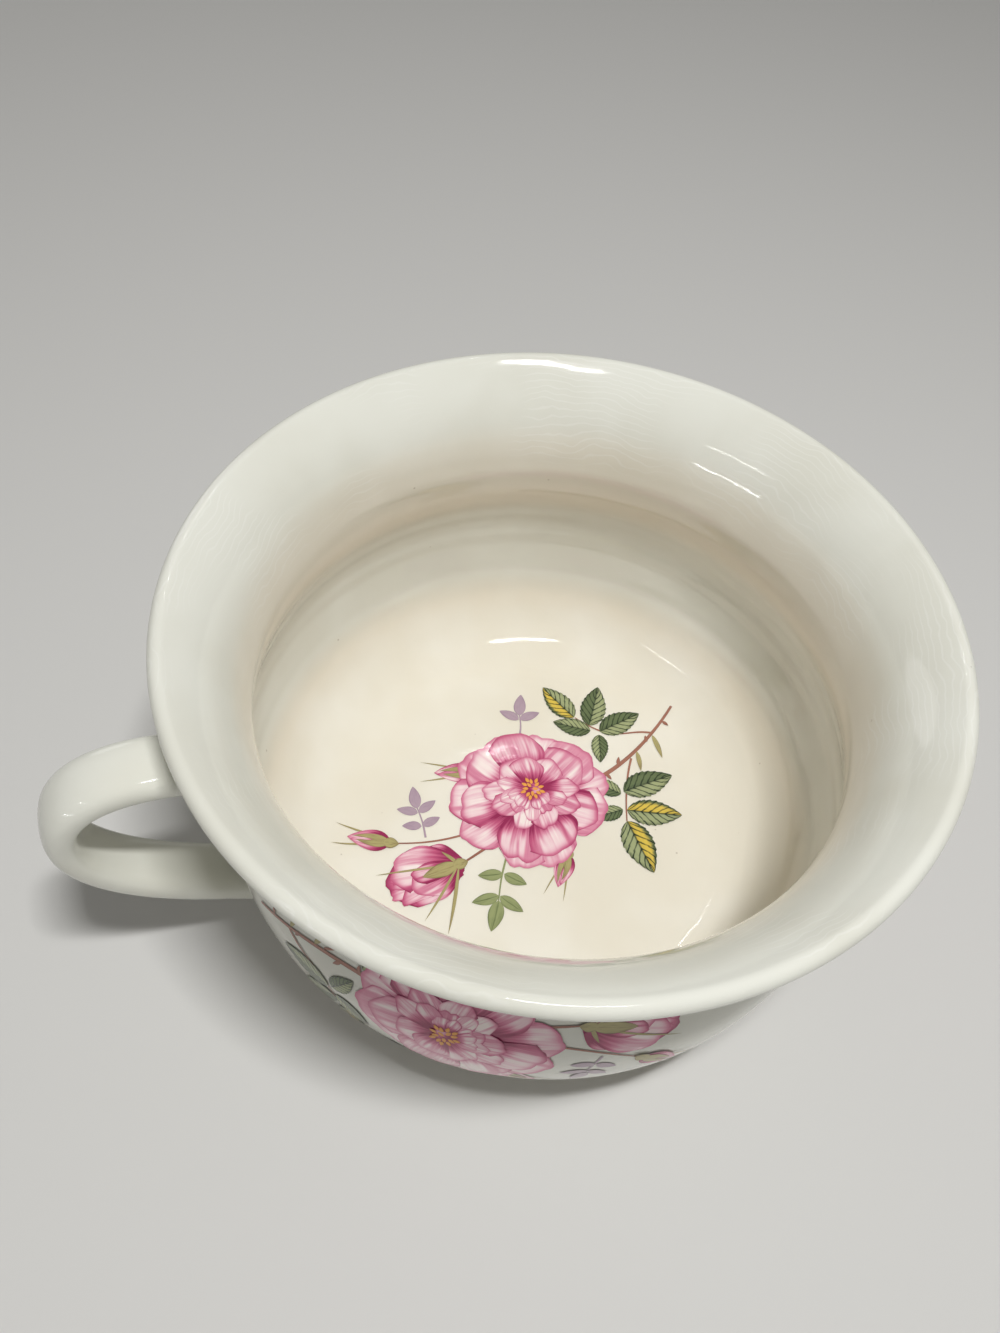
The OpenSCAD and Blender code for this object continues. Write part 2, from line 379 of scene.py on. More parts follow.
# %% Turn the bowl
FOOT_IN = 56.0
FOOT_OUT = 63.5
FOOT_SOFT = 1.2
FOOT_STEPS = 6
FOOT_END = 345
LIP_STEPS = 22
FLOOR_STEPS = 11
BOWL_SMOOTH = math.radians(50)
under_foot = np.concatenate([
    [[0, FOOT_H], [FOOT_IN / 2, FOOT_H], [FOOT_IN - FOOT_SOFT, FOOT_H]],
    arc((FOOT_IN + FOOT_SOFT, FOOT_SOFT), FOOT_SOFT, 180, 270, FOOT_STEPS),
    arc((FOOT_OUT - FOOT_SOFT, FOOT_SOFT), FOOT_SOFT, 270, FOOT_END, FOOT_STEPS),
])
lip = arc(LIP_AT, LIP_R, -FLARE_DEG, 180 - FLARE_DEG, LIP_STEPS)[1:-1]
floor_radii = np.linspace(FOOT_R, 0, FLOOR_STEPS + 1)[1:]
floor_line = np.stack([floor_radii, np.full(FLOOR_STEPS, FLOOR_Z)], axis=1)
bowl = turned("pot_body", np.concatenate([under_foot, outer, lip, inner[::-1], floor_line]))
bpy.ops.object.shade_smooth_by_angle(angle=BOWL_SMOOTH)
bowl.data.materials.append(glazes["cream_glaze"])

# %% [markdown]
# ## The strap handle
# A handle is pulled from a lump of wet clay into a strap, bent into an ear and stuck on. In Blender
# that is a Bezier curve, the ear's middle line, with a small closed curve for the strap's section.
# Longer handles make the section's circle squarer. Both ends run on into the bowl, and a Boolean
# with the bowl's core trims them inside the wall, so that nothing shows indoors.

# %% The core that trims what is stuck on
SEAT = 2.5
JOIN_SMOOTH = math.radians(35)
core_line = np.concatenate([[[0, FOOT_H + SEAT]], outer - SEAT * outer_normal, [[0, outer[-1][1]]]])
core = turned("bowl_core", core_line)


def trim_by_core(piece):
    """Cuts away what of the piece lies deeper than the seat inside the bowl."""
    pick(piece)
    bpy.ops.object.modifier_add(type="BOOLEAN")
    cut = piece.modifiers[-1]
    cut.operation = "DIFFERENCE"
    cut.solver = "EXACT"
    cut.object = core
    bpy.ops.object.modifier_apply(modifier=cut.name)
    bpy.ops.object.shade_smooth_by_angle(angle=JOIN_SMOOTH)


# %% Cut the strap's section
STRAP_HALF_W = 9.75
STRAP_HALF_T = 5.3
CIRCLE_HANDLE, SQUARE_HANDLE = 0.5523, 0.709
SQUARER = SQUARE_HANDLE / CIRCLE_HANDLE
SECTION_STEPS = 16

pick()
bpy.ops.curve.primitive_bezier_circle_add(radius=1)
section = bpy.context.object
for point in section.data.splines[0].bezier_points:
    point.handle_left_type = point.handle_right_type = "FREE"
for point in section.data.splines[0].bezier_points:
    middle = point.co.copy()
    for part in ("handle_left", "handle_right", "co"):
        stretched = middle + SQUARER * (getattr(point, part) - middle)
        setattr(point, part, Vector((stretched.x * STRAP_HALF_T, stretched.y * STRAP_HALF_W, 0)) * MM)
section.data.splines[0].resolution_u = SECTION_STEPS
print("section in mm:", 2 * STRAP_HALF_W, "by", 2 * STRAP_HALF_T)

# %% Bend the strap's middle line
STRAP_LINE = np.array([[96.01, 95.5], [160.2, 129.2], [178.47, 62.3], [96.6, 26.0]])
STRAP_STEPS = 72
RUN_IN = 0.05

bpy.ops.curve.primitive_bezier_curve_add()
handle = bpy.context.object
handle.name = "strap_handle"
handle.data.dimensions = "2D"
handle.data.fill_mode = "NONE"


def blossom(*shares):
    """A control point of the same curve drawn between other shares of its length."""
    points = STRAP_LINE
    for share in shares:
        points = (1 - share) * points[:-1] + share * points[1:]
    return Vector((-points[0][0], points[0][1], 0)) * MM


first, last = -RUN_IN, 1 + RUN_IN
line = [blossom(first, first, first), blossom(first, first, last),
        blossom(first, last, last), blossom(last, last, last)]
for point, (before, at, after) in zip(handle.data.splines[0].bezier_points,
                                      ((2 * line[0] - line[1], line[0], line[1]),
                                       (line[2], line[3], 2 * line[3] - line[2]))):
    point.handle_left_type = point.handle_right_type = "FREE"
    point.co = at
    point.handle_left = before
    point.handle_right = after
handle.data.splines[0].resolution_u = STRAP_STEPS
print("middle line runs", RUN_IN, "of its length past each end")

# %% Pull the section along it and trim the ends
handle.data.bevel_mode = "OBJECT"
handle.data.bevel_object = section
handle.data.use_fill_caps = True
handle.rotation_euler = (math.radians(90), 0, 0)
pick(handle)
bpy.ops.object.convert(target="MESH")
bpy.ops.object.transform_apply(location=True, rotation=True, scale=True)
bpy.ops.object.mode_set(mode="EDIT")
close_skin()
trim_by_core(handle)
handle.data.materials.clear()
handle.data.materials.append(glazes["white_glaze"])
bpy.data.objects.remove(section)
print("strap in mm:", [round(s * 1000, 1) for s in handle.dimensions])

# %% [markdown]
# ## The slip joints
# Liquid clay, called slip, glues the strap to the wall and is wiped into a soft fillet. The same
# helper will serve the prints later: a flat grid, as a slab of clay is, each of whose corners is
# moved to a place given by its two shares, across and along. Here the slab is rolled into a sleeve
# that is thick at the wall and runs out to nothing along the strap.

# %% A slab that takes any shape
def slab(name, columns, rows, place):
    """A grid of faces whose corners go to place(across, along), both from 0 to 1."""
    pick()
    bpy.ops.mesh.primitive_grid_add(x_subdivisions=columns, y_subdivisions=rows, size=1)
    piece = bpy.context.object
    piece.name = name
    corners = np.empty(len(piece.data.vertices) * 3)
    piece.data.vertices.foreach_get("co", corners)
    across, along = corners.reshape(-1, 3)[:, :2].T + 0.5
    piece.data.vertices.foreach_set("co", np.stack(place(across, along), axis=1).ravel() * MM)
    piece.data.update()
    return piece


# %% Wipe the two fillets
SLIP_T = 3.0
SLIP_TUCK = 0.3
SLIP_POWER, TUCK_POWER = 2.4, 3
UPPER_SLIP_L = 0.075
LOWER_SLIP_L = 1.25 * UPPER_SLIP_L
STRAP_POWER = 2.6
SLEEVE_STEPS = (56, 26)


def fillet(name, wall_t, strap_t):
    """A sleeve round the strap from wall_t, inside the wall, to strap_t, where it runs out."""
    def place(across, along):
        middle, normal = cubic(STRAP_LINE, wall_t + (strap_t - wall_t) * along)
        swell = SLIP_T * (1 - along) ** SLIP_POWER - SLIP_TUCK * along ** TUCK_POWER
        turn = 2 * math.pi * across * (1 if wall_t < strap_t else -1)
        corner = [np.sign(f(turn)) * np.abs(f(turn)) ** (2 / STRAP_POWER) for f in (np.cos, np.sin)]
        wide = (STRAP_HALF_W + swell) * corner[0]
        thick = (STRAP_HALF_T + swell) * corner[1]
        return -(middle[:, 0] + thick * normal[:, 0]), wide, middle[:, 1] + thick * normal[:, 1]

    piece = slab(name, *SLEEVE_STEPS, place)
    bpy.ops.object.mode_set(mode="EDIT")
    close_skin(fill=True)
    trim_by_core(piece)
    piece.data.materials.append(glazes["slip_glaze"])
    print(name, len(piece.data.polygons), "faces")
    return piece


upper_fillet = fillet("upper_slip_fillet", -RUN_IN, UPPER_SLIP_L)
lower_fillet = fillet("lower_slip_fillet", 1 + RUN_IN, 1 - LOWER_SLIP_L)
bpy.data.objects.remove(core)

# %% [markdown]
# ## The colours of the print
# The sprays were printed on thin paper and rubbed onto the clay, so they are flat colour with fine
# shading. Each petal or leaf carries its own UV map: u runs across it and v from its base to its
# tip. Veins, dark bases and pale tips are sums of u and v, and a number kept with each stroke, its
# tone, stops two strokes from being alike.

# %% Paint for petals
TONE_SHIFT, TONE_DEPTH = 37.0, 11.0


def stroke_place(tree):
    """Across from -1 to 1, along from 0 to 1, and the stroke's own tone and second tint."""
    uv = Wire.make(tree, "ShaderNodeTexCoord", out=2)
    across = uv.node("ShaderNodeSeparateXYZ", None, {0: uv}, 0) * 2.0 - 1.0
    along = uv.node("ShaderNodeSeparateXYZ", None, {0: uv}, 1)
    own = [uv.node("ShaderNodeAttribute", {"attribute_name": name}, None, 2) for name in ("tone", "tint")]
    return across, along, own[0], own[1]


def brush_marks(across, along, tone, lines, length):
    """Noise drawn out along the stroke, as fine engraved lines."""
    place = across.node("ShaderNodeCombineXYZ", None,
                        {0: across * lines + tone * TONE_SHIFT, 1: along * length, 2: tone * TONE_DEPTH})
    return noise(place, 1.0, 2.0)


PETAL_STOPS = [(0.0, srgb(251, 236, 233)), (0.25, srgb(241, 203, 212)), (0.50, srgb(222, 146, 171)),
               (0.75, srgb(197, 92, 130)), (1.0, srgb(152, 46, 88))]
PETAL_SHADE, TINT_DARK, FOLD_PALE, BASE_DARK = 0.48, 0.18, 0.46, 0.46
VEIN_DARK, SIDE_DARK, EDGE_DARK, TIP_DARK = 0.75, 0.25, 0.22, 0.18


def petal_colour(tree, *_):
    """Rose pink: pale on the folds, dark at the base, with fine lines and a darker edge."""
    across, along, tone, tint = stroke_place(tree)
    fold = brush_marks(across, along, tone, 2.6, 0.5)
    lines = brush_marks(across, along, tone, 11.0, 1.2)
    ridge = fold.rise(0.38, 0.64) * along.rise(0.40, 0.66) * along.rise(1.04, 0.78)
    base = along.rise(0.62, 0.14)
    veins = (0.5 - lines) * along.rise(1.05, 0.45) * VEIN_DARK
    side = (across * (tone - 0.5) * 2.0).rise(-0.2, 1.0) * SIDE_DARK
    edge = across.size().rise(0.74, 1.0) * EDGE_DARK + along.rise(0.90, 1.0) * TIP_DARK
    shade = PETAL_SHADE + tint * TINT_DARK - ridge * FOLD_PALE + base * BASE_DARK + veins + side + edge
    return shade.node("ShaderNodeValToRGB", {"stops": PETAL_STOPS}, {0: shade})


# %% Paint for leaves, stems and the flat sprigs
LEAF = srgb(104, 118, 82)
LEAF_PALE = srgb(164, 172, 128)
LEAF_DARK = srgb(46, 58, 44)
LEAF_GOLD = srgb(222, 194, 84)
LEAF_VEINS, VEIN_SLANT = 7.0, 1.9
VEIN_SHADE, MIDRIB_SHADE, EDGE_SHADE, MARK_SHADE = 0.75, 0.5, 0.50, 0.8
FOLD_SHADE, FOOT_SHADE, TIP_SHADE = 0.25, 0.25, 0.45


def leaf_colour(tree, *_):
    """Two greens, one to each half of the leaf, with dark veins and a touch of gold."""
    across, along, tone, tint = stroke_place(tree)
    half = across.rise(0.03, -0.03)
    blade = half.mix(LEAF_PALE, LEAF)
    gold = (half * tint * across.size().rise(0.90, 0.55)).mix(blade, LEAF_GOLD)
    slant = along * LEAF_VEINS - across.size() * VEIN_SLANT + tone
    vein = (slant * 2 * math.pi).wave().rise(0.35, 0.95)
    midrib = across.size().rise(0.10, 0.03)
    edge = across.size().rise(0.62, 0.98)
    marks = brush_marks(across, along, tone, 5.0, 6.0)
    shadow = across.size().rise(0.40, 0.0) * FOLD_SHADE + along.rise(0.35, 0.0) * FOOT_SHADE
    shadow = shadow + along.rise(0.62, 1.0) * TIP_SHADE
    lines = vein * VEIN_SHADE + midrib * MIDRIB_SHADE + edge * EDGE_SHADE
    dark = lines + (marks - 0.45) * MARK_SHADE + shadow
    return dark.rise(0.0, 1.2).mix(gold, LEAF_DARK)


MARK_DRIFT, TIP_DRIFT, EDGE_DRIFT, TINT_DRIFT = 1.2, 0.35, 0.45, 0.4


def flat_paint(first, second, lines, rib=0.0):
    """A paint that drifts between two colours along each stroke, with a rib down its middle."""
    def colour(tree, *_):
        across, along, tone, tint = stroke_place(tree)
        marks = brush_marks(across, along, tone, lines, 3.0)
        drift = (marks - 0.5) * MARK_DRIFT + along * TIP_DRIFT + tint * TINT_DRIFT
        drift = drift + across.size().rise(0.75, 1.0) * EDGE_DRIFT + across.size().rise(0.16, 0.02) * rib
        return drift.rise(0.0, 1.0).mix(first, second)
    return colour


paints = {
    "petal": petal_colour,
    "leaf": leaf_colour,
    "lilac": flat_paint(srgb(180, 158, 172), srgb(150, 125, 147), 2.0),
    "sprig": flat_paint(srgb(152, 160, 112), srgb(102, 114, 74), 4.0, 0.6),
    "stem": flat_paint(srgb(168, 116, 98), srgb(108, 62, 54), 1.0),
    "sepal": flat_paint(srgb(178, 168, 116), srgb(106, 82, 62), 4.0, 0.15),
    "stamen": flat_paint(srgb(238, 170, 84), srgb(214, 108, 60), 1.0),
}
for name, colour in paints.items():
    paints[name] = coat_with_glaze(bpy.data.materials.new(name + "_print"), colour)
print("paints:", sorted(paints))

# %% [markdown]
# ## Strokes of the drawing
# One spray is drawn flat, in mm about the middle of its open rose, and used four times. A petal, a
# leaflet and a stem are each a small slab cut to a formula. The strokes lie in thin layers, a few
# hundredths of a mm apart, and each petal is tilted a little, so that petals in a ring overlap their
# neighbours all the way round, as they do on paper.

# %% Lay one stroke
LAYER = 0.028
TILT = 0.010
strokes = []
dice = np.random.default_rng(19)


def stroke(paint, level, outline, columns, rows, tint=0.0):
    """Adds a patch of paint: outline(across, along) gives its x and y, across from -1 to 1."""
    def place(share, along):
        across = 2 * share - 1
        x, y = outline(across, along)
        return x, y, level * LAYER + TILT * across
    patch = slab("stroke", columns, rows, place)
    for name, value in (("tone", dice.random()), ("tint", tint)):
        own = patch.data.attributes.new(name, "FLOAT", "POINT")
        own.data.foreach_set("value", np.full(len(patch.data.vertices), value))
    patch.data.materials.append(paints[paint])
    strokes.append(patch)


def headed(at, heading, side, ahead):
    """Turns lengths to the right of and along a heading, in degrees, into x and y."""
    turn = math.radians(heading)
    return (at[0] + ahead * math.cos(turn) + side * math.sin(turn),
            at[1] + ahead * math.sin(turn) - side * math.cos(turn))


# %% Petal, leaflet and stem
BROADEST, SWELL_POWER = 0.72, 1.2
BLUNT, NOTCH, NOTCH_WIDE = 0.30, 0.09, 0.22
RIPPLE, RIPPLES = 0.025, 5
TEETH, SAW_EDGE = 9, 0.12
LEAF_POWER = 0.80
STEM_TAPER = 0.45


def petal(at, heading, length, width, level, waist=0.35, bend=0.0, tint=0.0):
    """A petal with a narrow base and a broad round tip that waves a little."""
    wave, notch = dice.uniform(0, 6.28), dice.uniform(0.0, NOTCH)

    def outline(across, along):
        swell = np.sin(np.minimum(along / BROADEST, 1) * math.pi / 2) ** SWELL_POWER
        half = width / 2 * (waist + (1 - waist) * swell)
        rim = BLUNT * across ** 2 + notch * np.exp(-(across / NOTCH_WIDE) ** 2)
        rim = rim + RIPPLE * np.sin(RIPPLES * across + wave)
        ahead = length * (along - rim * along ** 3)
        return headed(at, heading, across * half + bend * length * along ** 2, ahead)
    stroke("petal", level, outline, 10, 12, tint=tint)


def leaflet(at, heading, length, width, level, paint="leaf", tint=0.0, bend=0.0):
    """A pointed leaf, with a saw edge if its paint is a leaf's."""
    saw_edge = SAW_EDGE if paint == "leaf" else 0.0

    def outline(across, along):
        swell = np.sin(math.pi * along ** LEAF_POWER) ** LEAF_POWER
        side = across * width / 2 * swell * (1 + saw_edge * ((along * TEETH) % 1.0 - 0.5))
        return headed(at, heading, side + bend * length * along ** 2, along * length)
    stroke(paint, level, outline, 6, 4 * TEETH if saw_edge else 12, tint=tint)


def stem(points, level, width, paint="stem"):
    """A thin line along a cubic curve, thinner towards its end."""
    def outline(across, along):
        line, left = cubic(points, along)
        side = across * width / 2 * (1 - STEM_TAPER * along)
        return line[:, 0] - side * left[:, 0], line[:, 1] - side * left[:, 1]
    stroke(paint, level, outline, 2, 18)


# %% [markdown]
# ## The open rose
# A full garden rose is two rings of broad petals about an eye of stamens. Behind the eye a few
# petals stand up, and before it narrow ones crowd together in rows, because the flower is turned a
# little aside. Every petal gets its own length, width and turn from a seeded die.

# %% Draw the open rose
EYE = (0.6, 4.0)
STAMENS, STAMEN_PITCH, STAMEN_SPREAD = 16, 137.5, 0.80
# Each ring: petals, centre, first and last heading, start, length, width, level
ROSE_RINGS = [
    (10, (0.0, 0.0), 0, 360, 9.0, 21.5, 19.0, 10),
    (7, (0.0, 0.6), 20, 380, 5.0, 22.5, 19.0, 15),
    (3, EYE, 40, 170, 1.0, 15.5, 14.0, 19),
    (6, EYE, 175, 385, 2.5, 16.0, 9.5, 21),
    (6, EYE, 165, 345, 2.2, 11.5, 6.5, 23),
    (5, EYE, 185, 335, 1.6, 8.2, 4.8, 25),
]
for count, centre, first, last, start, length, width, level in ROSE_RINGS:
    for i in range(count):
        heading = first + (last - first) * (i + 0.5) / count + dice.uniform(-9, 9)
        reach = length * dice.uniform(0.82, 1.08)
        at = headed(centre, heading, 0, start)
        petal(at, heading, reach, width * dice.uniform(0.88, 1.18), level + i % 2,
              bend=dice.uniform(-0.13, 0.13), tint=dice.uniform(-0.5, 0.7))
leaflet(headed(EYE, 180, 0, 3.4), 0, 6.8, 6.0, 28, "petal", 1.5)
for i in range(STAMENS):
    at = headed(EYE, STAMEN_PITCH * i, 0, STAMEN_SPREAD * math.sqrt(i))
    leaflet(at, STAMEN_PITCH * i, 2.3, 1.3, 29, paint="stamen")
print("strokes so far:", len(strokes))

# %% [markdown]
# ## The half-open rose and the buds
# Beside the open rose are a smaller one, seen from the side, and three buds. From the side a rose
# is a fan of petals on one base, the middle ones behind and the outer ones in front, with green
# sepals under it.

# %% Draw the half-open rose
HALF_ROSE = (-23.5, -30.8)
HALF_HEADING = 207
HALF_WAIST, HALF_CUP, SEPAL_CURL = 0.45, 165, 900
# Each petal: turn from the flower's heading, length, width, level, tint
HALF_PETALS = [
    (-46, 17, 13, 10, 1.3), (4, 28, 20, 11, 1.7), (34, 23, 12, 12, 1.1), (14, 28, 9, 13, 0.4),
    (-2, 27, 8, 14, 0.6), (28, 25, 8, 15, 0.9), (-21, 25, 17, 16, 0.0), (22, 19, 14, 17, 0.4),
    (-4, 18, 8, 18, 1.3),
]
for spread, length, width, level, tint in HALF_PETALS:
    petal(HALF_ROSE, HALF_HEADING + spread, length, width, level, HALF_WAIST, spread / HALF_CUP, tint)
HALF_SEPALS = [(2, 14, 5.6), (66, 27, 1.3), (44, 25, 1.0), (-12, 30, 0.9), (-62, 8, 1.4)]
for spread, length, width in HALF_SEPALS:
    leaflet(HALF_ROSE, HALF_HEADING + spread, length, width, 20, paint="sepal", bend=spread / SEPAL_CURL)
leaflet(headed(HALF_ROSE, HALF_HEADING, 0, 2.0), HALF_HEADING + 180, 5.6, 4.6, 21, paint="sepal")
print("strokes with the half-open rose:", len(strokes))

# %% Draw the buds
# Each part of a bud: turn, length and width as shares of the bud's, layers up, paint, tint, curl
BUD_PARTS = [
    (-15, 0.92, 0.42, 0, "petal", 1.0, 70), (15, 0.90, 0.40, 0, "petal", 0.6, 70),
    (0, 1.0, 0.42, 0, "petal", 0.1, 70), (-24, 0.82, 0.15, 3, "sepal", 0.0, 62),
    (22, 0.74, 0.17, 3, "sepal", 0.0, 62), (4, 0.46, 0.13, 3, "sepal", 0.0, 62),
    (-16, 1.35, 0.05, -1, "sepal", 0.0, 260), (13, 1.35, 0.05, -1, "sepal", 0.0, 260),
]
HIP_AT, HIP_L, HIP_W = 0.16, 0.36, 0.27


def bud(at, heading, length, level):
    """A closed bud: almond petals, sepals that hug them, two whiskers and a round hip."""
    for spread, share, width, raised, paint, tint, curl in BUD_PARTS:
        leaflet(at, heading + spread, length * share, length * width, level + raised, paint, tint,
                spread / curl)
    hip = headed(at, heading, 0, length * HIP_AT)
    leaflet(hip, heading + 180, length * HIP_L, length * HIP_W, level + 4, "sepal")


bud((-49.2, -25.4), 178, 16.0, 13)
bud((-21.5, 8.4), 188, 16.0, 4)
bud((15.9, -21.5), 257, 14.0, 4)
print("strokes with buds:", len(strokes))

# %% [markdown]
# ## Leaves, stems and sprigs
# A rose leaf is five leaflets on one stalk, in two pairs with one at the end. The plain lilac and
# pale green sprigs are the same leaf printed as a flat silhouette, without a saw edge.

# %% Draw the leaves and stems
# Each leaflet: base, heading, length, share of gold
LEAFLETS = [
    ((14.7, 39.1), 139, 18.6, 1.0), ((20.7, 36.0), 79, 19.5, 0.0), ((25.2, 33.8), 35, 18.8, 0.0),
    ((21.5, 33.6), 174, 15.2, 0.0), ((24.9, 32.2), -83, 12.8, 0.0),
    ((35.4, 7.6), 30, 21.0, 0.0), ((36.9, -0.2), -1, 20.9, 1.0), ((37.1, -5.0), -63, 22.5, 1.0),
    ((34.4, 6.4), 158, 13.0, 0.0), ((35.3, -0.2), 207, 12.5, 0.0),
]
LEAF_SHAPE, LEAF_BEND = 0.53, 0.07
for at, heading, length, gold in LEAFLETS:
    bend = dice.uniform(-LEAF_BEND, LEAF_BEND)
    leaflet(at, heading, length, LEAF_SHAPE * length, 8, tint=gold, bend=bend)


def sprig(root, heading, stalk, length, level, paint, pairs):
    """Leaflets in pairs along a stalk with a longer one at its end, as a flat silhouette."""
    tip = headed(root, heading, 0, stalk)
    middle = headed(root, heading, 0.6, stalk / 2)
    stem((root, middle, middle, tip), level - 1, 0.8, paint)
    leaflet(headed(tip, heading, 0, -0.6), heading, 1.2 * length, 0.56 * length, level, paint, bend=0.06)
    for pair in range(pairs):
        at = headed(root, heading, 0, (stalk - 2.6) * (1.0 - 0.55 * pair))
        for side in (-1, 1):
            leaflet(headed(at, heading - 60 * side, 0, 0.3), heading - side * (58 + 10 * pair),
                    length * (1 - 0.10 * pair), 0.46 * length, level, paint, bend=0.10 * side)


sprig((-6.2, 27.0), 95, 10.5, 8.6, 5, "lilac", 1)
sprig((-36.8, -21.5), 112, 13.0, 8.0, 5, "lilac", 2)
sprig((-6.6, -25.0), 266, 18.5, 10.0, 5, "sprig", 2)
# Each stem: the four points of its curve and its width
STEMS = [
    ((20.0, 8.0), (34.0, 18.0), (42.0, 28.0), (53.5, 49.0), 1.9),
    ((46.5, 36.0), (40.0, 36.5), (36.0, 34.0), (31.0, 33.5), 0.9),
    ((31.0, 33.5), (26.0, 33.0), (20.0, 36.0), (15.0, 39.0), 0.8),
    ((38.0, 23.0), (36.5, 16.0), (36.0, 6.0), (37.0, -5.0), 0.9),
    ((-10.0, -18.0), (-14.0, -23.0), (-19.0, -27.0), (-22.0, -30.0), 1.3),
    ((-15.0, -14.0), (-26.0, -21.0), (-36.0, -24.0), (-47.0, -25.2), 0.9),
    ((-8.0, 9.0), (-12.0, 9.5), (-17.0, 9.0), (-20.0, 8.6), 1.1),
    ((12.0, -12.0), (15.0, -15.0), (16.0, -17.0), (16.2, -20.0), 1.1),
]
for *points, width in STEMS:
    stem(points, 6, width)
# Small leaves and thorns on the main stem: base, heading, length, paint
STEM_LEAVES = [
    ((46.0, 35.0), -62, 11, "sepal"), ((40.0, 26.5), -72, 9, "sepal"), ((50.0, 42.0), -30, 3, "stem"),
    ((33.0, 19.0), 95, 4, "stem"), ((28.5, 14.5), -40, 3, "stem"), ((44.0, 31.5), 110, 3, "stem"),
]
for at, heading, length, paint in STEM_LEAVES:
    leaflet(at, heading, length, 1.1 + 0.09 * length, 7, paint, bend=0.1)
print("strokes in the drawing:", len(strokes))

# %% [markdown]
# ## Rubbing the prints on
# The paper follows the clay wherever it is pressed, so the flat drawing is bent by the rib. On the
# floor, a length from the axis becomes a length along the inner face; on the belly, height becomes
# length along the outer face and width becomes an angle. Each print is its own copy of the drawing.

# %% Join the strokes
pick(*reversed(strokes))
bpy.ops.object.join()
drawing = bpy.context.object
drawing.name = "spray_drawing"
flat = np.empty(len(drawing.data.vertices) * 3)
drawing.data.vertices.foreach_get("co", flat)
flat = flat.reshape(-1, 3) / MM
print("corners in the drawing:", len(flat))


# %% Measure along the clay
class Track:
    """Lengths along a face of the clay: where each is, and which way is out of the clay."""

    def __init__(self, points, normals):
        self.lengths = np.concatenate([[0], np.cumsum(np.linalg.norm(np.diff(points, axis=0), axis=1))])
        self.points, self.normals = points, normals

    def at(self, length, lift):
        r, z, nr, nz = (np.interp(length, self.lengths, column)
                        for column in (*self.points.T, *self.normals.T))
        return r + lift * nr, z + lift * nz


floor_points = np.concatenate([[[0, FLOOR_Z], [FOOT_R - 1, FLOOR_Z]], inner])
floor_normals = np.concatenate([[[0, 1], [0, 1]], -outer_normal])
floor_track = Track(floor_points, floor_normals)
belly_track = Track(outer, outer_normal)
print("faces run to", [round(track.lengths[-1], 1) for track in (floor_track, belly_track)], "mm")

# %% Bend the drawing
FILM = 0.05


def turned_flat(degrees):
    """The flat drawing turned about its open rose, and each corner's height over the clay."""
    turn = math.radians(degrees)
    x, y, lift = flat.T
    return x * math.cos(turn) - y * math.sin(turn), x * math.sin(turn) + y * math.cos(turn), lift + FILM


def on_floor(turn, centre):
    """Where the drawing's corners lie when its rose is at this centre on the floor."""
    x, y, lift = turned_flat(turn)
    x, y = x + centre[0], y + centre[1]
    r, z = floor_track.at(np.hypot(x, y), lift)
    angle = np.arctan2(y, x)
    return r * np.cos(angle), r * np.sin(angle), z


def on_belly(turn, azimuth, height):
    """Where the drawing's corners lie when its rose is at this azimuth and height outside."""
    x, y, lift = turned_flat(turn)
    start = np.interp(height, outer[:, 1], belly_track.lengths)
    r, z = belly_track.at(start + y, lift)
    angle = math.radians(azimuth) + x / BELLY[0]
    return r * np.cos(angle), r * np.sin(angle), z


def rub_on(name, places):
    """A copy of the drawing with its own mesh, its corners at these places in mm."""
    pick(drawing)
    bpy.ops.object.duplicate()
    copy = bpy.context.object
    copy.name = name
    copy.data.vertices.foreach_set("co", np.stack(places, axis=1).ravel() * MM)
    copy.data.update()
    bpy.ops.object.shade_smooth()
    print(name, len(copy.data.polygons), "faces")
    return copy


# %% Rub on four copies
VIEW_TURN = -24.97
FLOOR_BACK, FLOOR_LEFT = 7.0, 0.7
floor_centre = headed((0, 0), VIEW_TURN, -FLOOR_BACK, -FLOOR_LEFT)
floor_spray = rub_on("floor_rose_spray", on_floor(VIEW_TURN, floor_centre))
SIDE_TURN = 142
SIDE_Z = 70
SIDE_SPRAYS = [("front_rose_spray", 235), ("right_rose_spray", 328), ("back_rose_spray", 61)]
belly_sprays = [rub_on(name, on_belly(SIDE_TURN, azimuth, SIDE_Z)) for name, azimuth in SIDE_SPRAYS]
bpy.data.objects.remove(drawing)

# %% [markdown]
# ## Pieces and bodies
# Nothing on this pot moves, so every piece rides on the one body. Each one stands for the plain
# solid of the same place, which is hidden.

# %% Put each piece on the body and hide its plain solid
for piece, node, slot in [
    (bowl, "body", "cream_glaze"), (handle, "handle", "white_glaze"),
    (upper_fillet, "upper_slip_joint", "slip_glaze"), (lower_fillet, "lower_slip_joint", "slip_glaze"),
    (floor_spray, "floor_transfer", "floor_print"), (belly_sprays[0], "front_transfer", "belly_print"),
    (belly_sprays[1], "right_transfer", "belly_print"), (belly_sprays[2], "back_transfer", "belly_print"),
]:
    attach(piece, "root")
    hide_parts(node)

# %% [markdown]
# ## The studio
# The pot stands on a plain pale floor in pale air, under one lamp almost overhead, a little to the
# front. What the glaze mirrors is set apart from what lights the clay: a dimmer twin of the lamp,
# thin strips behind and at the left, and a pale window show in the gloss alone, as the streaks of a
# wet-looking glaze. The camera looks down into the bowl from the front left, close by, so the near
# rim looks large.

